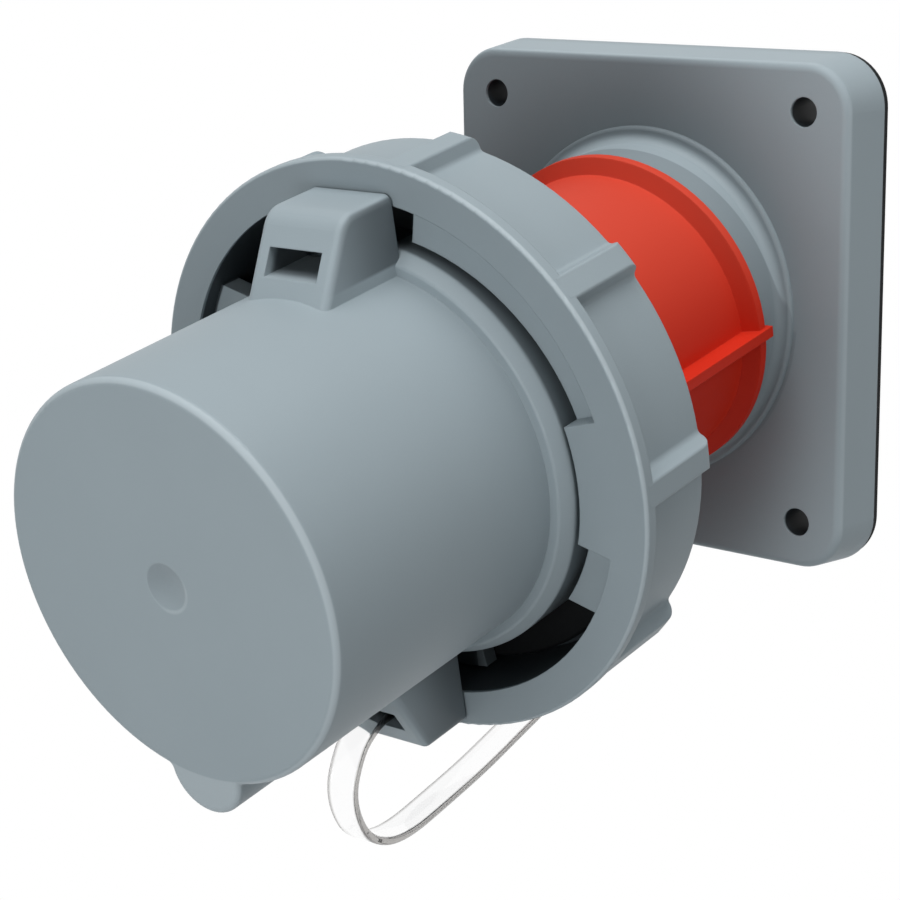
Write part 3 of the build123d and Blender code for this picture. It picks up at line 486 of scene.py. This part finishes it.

# %% [markdown]
# The same grey goes on all three. The flange's is a lighter copy, painted light that makes up for the
# painted shade on most of it.

# %% Grey plastic
GREY_LOW, GREY_HIGH = (0.262, 0.314, 0.342), (0.296, 0.352, 0.381)
FLANGE_LOW, FLANGE_HIGH = (0.290, 0.346, 0.376), (0.328, 0.388, 0.419)
flange_grey = moulded("grey_flange", FLANGE_LOW, FLANGE_HIGH, 0.5, flange_shade, flange_edge_highlight)
flange_grey.wear("flange_housing")
ring_grey = moulded("grey_ring", GREY_LOW, GREY_HIGH, 0.5, ring_painted_shade, ring_edge_highlight)
ring_grey.wear("locking_ring")
cap_grey = moulded("grey_cap", GREY_LOW, GREY_HIGH, 0.5, cap_painted_shade, cap_edge_highlight)
cap_grey.wear("protective_cap")
grey_names = [n for n, o in nodes.items() if o.data.materials and "grey" in o.data.materials[0].name]
print("grey plastic on", grey_names)

# %% [markdown]
# The red of the body is deep and pure. The insulating pieces inside and the nut are a near-black
# plastic from the same recipe, with a coarser grain.

# %% Red and black plastic
def red_top(finish):
    """The upper side of the barrel, which faces the overhead light, is a warmer red."""
    _, x, height, _ = finish.on_axis()
    return finish.rise(height + 0.3 * x, 10.0, 34.0)


RED_LOW, RED_HIGH = (0.56, 0.024, 0.010), (0.64, 0.032, 0.014)
RED_TOP_TONE = (0.64, 0.085, 0.05)
red = moulded("red_body", RED_LOW, RED_HIGH, 0.45, None, red_top, RED_TOP_TONE, specular=0.08)
red.wear("red_shroud")
dark = moulded("dark_insulator", (0.022, 0.024, 0.027), (0.034, 0.036, 0.04), 0.5, grain_mm=0.5)
dark.wear("pin_carrier", "pin_retainer", "terminal_fence", "body_nut")
print("red and black plastic done")

# %% [markdown]
# ## Rubber
#
# The gasket, the O-ring and the face seal are black rubber: dull, with pores and a little dust that
# makes the black uneven.

# %% Black rubber
rubber = Finish("black_rubber", 0.7, **{"Specular IOR Level": 0.12})
dust = rubber.noise(9.0, 5.0)
pores = rubber.noise(0.5, 2.0)
rubber.colour(rubber.blend((0.003, 0.0035, 0.004), (0.007, 0.008, 0.009), dust))
rubber.polish(dust * 0.2 + pores * 0.1 + 0.55)
rubber.relief(pores, 0.05, 0.6, 0.3)
rubber.wear("flange_gasket", "body_o_ring", "shroud_seal")
print("rubber done")

# %% [markdown]
# ## Plated pins and zinc screws
#
# The pins are turned and plated: fine rings across their length, from noise that is stretched round
# them. The small screws and the spring clip are zinc plated, with a crystalline spangle.

# %% Metal
plated = Finish("plated_contact", 0.25, Metallic=1.0)
turning = plated.noise(6.0, 3.0, (1.0, 60.0, 1.0))
tarnish = plated.noise(5.0, 4.0)
plated.colour(plated.blend((0.62, 0.58, 0.50), (0.76, 0.73, 0.67), tarnish))
plated.polish(turning * 0.18 + tarnish * 0.12 + 0.14)
plated.relief(turning, 0.01, 0.5, 0.15)
plated.wear("earth_pin", "phase_pin_1", "phase_pin_2", "phase_pin_3", "neutral_pin", "pilot_pin")

zinc = Finish("zinc_steel", 0.35, Metallic=1.0)
spangle = zinc.noise(1.5, 4.0)
zinc.colour(zinc.blend((0.42, 0.43, 0.45), (0.62, 0.63, 0.64), spangle))
zinc.polish(spangle * 0.3 + 0.22)
zinc.relief(spangle, 0.01, 0.5, 0.1)
zinc.wear("terminal_screws", "pilot_screw", "carrier_screws", "retainer_screws", "ring_clip")
print("metal done")

# %% [markdown]
# ## Smooth the carried-over solids
#
# The CAD meshes are faceted. Facets that meet at less than 46 degrees are shaded as one round surface,
# and sharper edges stay crisp.

# %% Smooth shading
CAD_SMOOTH_BELOW, STRAP_SMOOTH_BELOW = math.radians(46.0), math.radians(40.0)
for node in nodes.values():
    bpy.ops.object.select_all(action="DESELECT")
    node.select_set(True)
    bpy.context.view_layer.objects.active = node
    bpy.ops.object.shade_smooth_by_angle(angle=CAD_SMOOTH_BELOW)
bpy.ops.object.select_all(action="DESELECT")
print("smoothed", len(nodes))

# %% [markdown]
# ## The clear strap
#
# The strap is one clear, flexible moulding: a cross bar in the lower lug's pocket, a flat band that
# hangs in a loose loop, and a ring round the barrel. The band could be swept point by point, but it is
# easier to model it straight, as a long flat bar, and to let a Curve modifier bend it. First comes the
# line that it follows. Its points lie in the middle plane of the inlet.

# %% The strap's line
BAND_W, BAND_T, BAND_EDGE = 7.0, 1.6, 0.5
BAND_ROUTE = (
    (90.5, -48.5), (97.0, -48.5), (102.0, -48.2), (107.5, -50.4), (110.3, -53.6), (112.9, -58.0),
    (113.0, -63.6), (110.7, -69.6), (105.3, -73.6), (98.3, -74.9), (89.3, -74.5), (75.5, -73.7),
    (63.6, -72.1), (52.4, -70.7), (46.3, -69.0), (43.6, -63.0), (43.0, -52.0), (43.0, -33.0),
)
bpy.ops.curve.primitive_nurbs_path_add(location=(0.0, 0.0, 0.0))
strap_line = bpy.context.object
strap_line.name = "strap_line"
strap_line.data.resolution_u = 12
strap_line.data.twist_mode = "MINIMUM"
strap_line.data.use_stretch = True
strap_line.data.use_deform_bounds = True
spline = strap_line.data.splines[0]
spline.points.add(len(BAND_ROUTE) - len(spline.points))
for point, (along, height) in zip(spline.points, BAND_ROUTE):
    point.co = (*on_body(along, 0.0, height), 1.0)
spline.order_u = 3
spline.use_endpoint_u = True
print("strap line with", len(spline.points), "points")

# %% [markdown]
# The band starts as a cube that is scaled to the section and to a nominal length, which the curve then
# stretches or shrinks to its own. The four long edges are cut into short steps, so that the band can
# bend, and rounded by a bevel.

# %% The straight band
BAND_LENGTH = 170.0
BAND_STEPS = 180


def select_edges(mesh_object, wanted):
    """Selects the edges of a mesh, in edit mode, for which wanted(first, second corner) is true."""
    bpy.ops.mesh.select_mode(type="EDGE")
    bpy.ops.mesh.select_all(action="DESELECT")
    bpy.ops.object.mode_set(mode="OBJECT")
    mesh = mesh_object.data
    for edge in mesh.edges:
        first, second = (mesh.vertices[i].co for i in edge.vertices)
        edge.select = wanted(first, second)
    bpy.ops.object.mode_set(mode="EDIT")


def on_long_edge(first, second):
    """True for a step of one of the band's four long edges."""
    lengthwise = abs(first.x - second.x) > 0.1 * MM
    return lengthwise and all(
        abs(v.y) > 0.49 * BAND_W * MM and abs(v.z) > 0.49 * BAND_T * MM for v in (first, second)
    )


bpy.ops.object.select_all(action="DESELECT")
bpy.ops.mesh.primitive_cube_add(size=1.0, location=(0.0, 0.0, 0.0))
band = bpy.context.object
band.name = "clear_strap"
bpy.ops.object.mode_set(mode="EDIT")
bpy.ops.mesh.select_all(action="SELECT")
bpy.ops.transform.resize(value=(BAND_LENGTH * MM, BAND_W * MM, BAND_T * MM))
select_edges(band, lambda a, b: abs(a.x - b.x) > BAND_T * MM)
bpy.ops.mesh.subdivide(number_cuts=BAND_STEPS)
select_edges(band, on_long_edge)
bpy.ops.mesh.bevel(offset=BAND_EDGE * MM, offset_type="OFFSET", segments=4, affect="EDGES")
bpy.ops.object.mode_set(mode="OBJECT")
print("straight band", len(band.data.polygons), "faces")

# %% [markdown]
# A Curve modifier lays the bar along the line. It is applied, and the line is deleted.

# %% Bend the band
bend = band.modifiers.new("bend", "CURVE")
bend.object = strap_line
bend.deform_axis = "POS_X"
bpy.context.view_layer.objects.active = band
bpy.ops.object.modifier_apply(modifier=bend.name)
bpy.data.objects.remove(strap_line)
band_xs = [v.co.x for v in band.data.vertices]
print("band from x", round(min(band_xs), 4), "to", round(max(band_xs), 4))

# %% [markdown]
# The ring round the barrel starts as an open cylinder, gets its thickness from a Solidify modifier and
# its soft edges from a Bevel modifier. The cross bar is a cube with the same soft edges.

# %% The ring and the cross bar
AXIS_TURN = (math.radians(90.0 + LEAN_DEGREES), 0.0, 0.0)
LOOP_AT, LOOP_INNER_R = 43.0, 31.9
BAR_ALONG, BAR_HEIGHT = BAND_ROUTE[0]
BAR_SIZE, BAR_EDGE = (13.6, 4.9, 2.6), 0.7


def finish_with(target, kind, **settings):
    """Adds a modifier and applies it."""
    modifier = target.modifiers.new(kind.lower(), kind)
    for name, value in settings.items():
        setattr(modifier, name, value)
    bpy.context.view_layer.objects.active = target
    bpy.ops.object.modifier_apply(modifier=modifier.name)


bpy.ops.object.select_all(action="DESELECT")
bpy.ops.mesh.primitive_cylinder_add(
    vertices=128, radius=LOOP_INNER_R * MM, depth=BAND_W * MM, end_fill_type="NOTHING",
    location=on_body(LOOP_AT, 0.0, 0.0), rotation=AXIS_TURN,
)
loop = bpy.context.object
finish_with(loop, "SOLIDIFY", thickness=BAND_T * MM, offset=1.0)
finish_with(
    loop, "BEVEL", width=BAND_EDGE * MM, segments=3, limit_method="ANGLE", angle_limit=math.radians(60.0)
)

bpy.ops.object.select_all(action="DESELECT")
bpy.ops.mesh.primitive_cube_add(
    size=1.0, location=on_body(BAR_ALONG, 0.0, BAR_HEIGHT), rotation=AXIS_TURN
)
bar = bpy.context.object
bpy.ops.object.mode_set(mode="EDIT")
bpy.ops.mesh.select_all(action="SELECT")
bpy.ops.transform.resize(
    value=[side * MM for side in BAR_SIZE], orient_type="LOCAL", center_override=bar.location
)
bpy.ops.mesh.bevel(offset=BAR_EDGE * MM, offset_type="OFFSET", segments=3, affect="EDGES")
bpy.ops.object.mode_set(mode="OBJECT")
print("ring", len(loop.data.polygons), "faces, bar", len(bar.data.polygons), "faces")

# %% [markdown]
# Two unions make one body of the three, so that no inner wall shows through the clear plastic. The
# finished strap stays at the origin, unturned.

# %% One clear piece
for other in (loop, bar):
    bpy.ops.object.select_all(action="DESELECT")
    other.select_set(True)
    bpy.context.view_layer.objects.active = other
    bpy.ops.object.transform_apply(location=True, rotation=True, scale=True)
    finish_with(band, "BOOLEAN", operation="UNION", solver="EXACT", object=other)
    bpy.data.objects.remove(other)
strap = band
bpy.ops.object.select_all(action="DESELECT")
strap.select_set(True)
bpy.context.view_layer.objects.active = strap
bpy.ops.object.mode_set(mode="EDIT")
bpy.ops.mesh.select_all(action="SELECT")
bpy.ops.mesh.remove_doubles(threshold=0.005 * MM)
bpy.ops.mesh.normals_make_consistent(inside=False)
bpy.ops.object.mode_set(mode="OBJECT")
bpy.ops.object.shade_smooth_by_angle(angle=STRAP_SMOOTH_BELOW)
print("strap", len(strap.data.polygons), "faces", "box", [round(v, 4) for v in strap.dimensions])

# %% [markdown]
# The strap's plastic is clear. Its narrow side faces get a painted shade, a smoky grey for how dark they
# look seen through the band's width, which draws the two grey lines of the loop. Shallow flow marks cloud
# the surface.

# %% Clear plastic
SIDE_SHADE_TONE = (0.40, 0.39, 0.38)
clear_plastic = Finish("clear_plastic", 0.06, **{"Transmission Weight": 1.0, "IOR": 1.42})
x_mm, _, _ = clear_plastic.axes()
flow = clear_plastic.noise(4.0, 3.0)
# Painted shade: the band's narrow side faces turn a smoky grey.
side_face = clear_plastic.rise(abs(x_mm), BAND_W / 2 - 0.5, BAND_W / 2 - 0.05)
clear_tone = clear_plastic.blend((0.97, 0.972, 0.975), (0.995, 0.995, 0.995), flow)
clear_plastic.colour(clear_plastic.blend(clear_tone, SIDE_SHADE_TONE, side_face))
clear_plastic.polish(flow * 0.06 + 0.03)
clear_plastic.relief(flow, 0.05, 0.25)
strap.data.materials.append(clear_plastic.material)

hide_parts("cap_strap")
on_body(50.0, 0, -72.0)
on_body(112.0, 0, -60.0)
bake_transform(strap)
print("strap dressed")

# %% [markdown]
# ## The floor
#
# A pale floor lies below the strap. The camera sees it as the same white as the ground of the picture.

# %% Floor
bpy.ops.object.select_all(action="DESELECT")
bpy.ops.mesh.primitive_plane_add(size=6.0, location=(0.0, 0.0, -0.30))
floor = bpy.context.object
floor.name = "floor"
pale = Finish("pale_floor", 0.8, **{"Base Color": (0.5, 0.505, 0.51, 1.0)})
white = pale.node("ShaderNodeEmission", None, {"Color": (1.0, 1.0, 1.0, 1.0), "Strength": 1.0})
pick = pale.node(
    "ShaderNodeMixShader", None, {0: pale.seen_directly(), 1: pale.shader.outputs[0], 2: white.outputs[0]}
)
pale.tree.links.new(pick.outputs[0], pale.tree.nodes["Material Output"].inputs["Surface"])
floor.data.materials.append(pale.material)
print("floor at", floor.location.z)
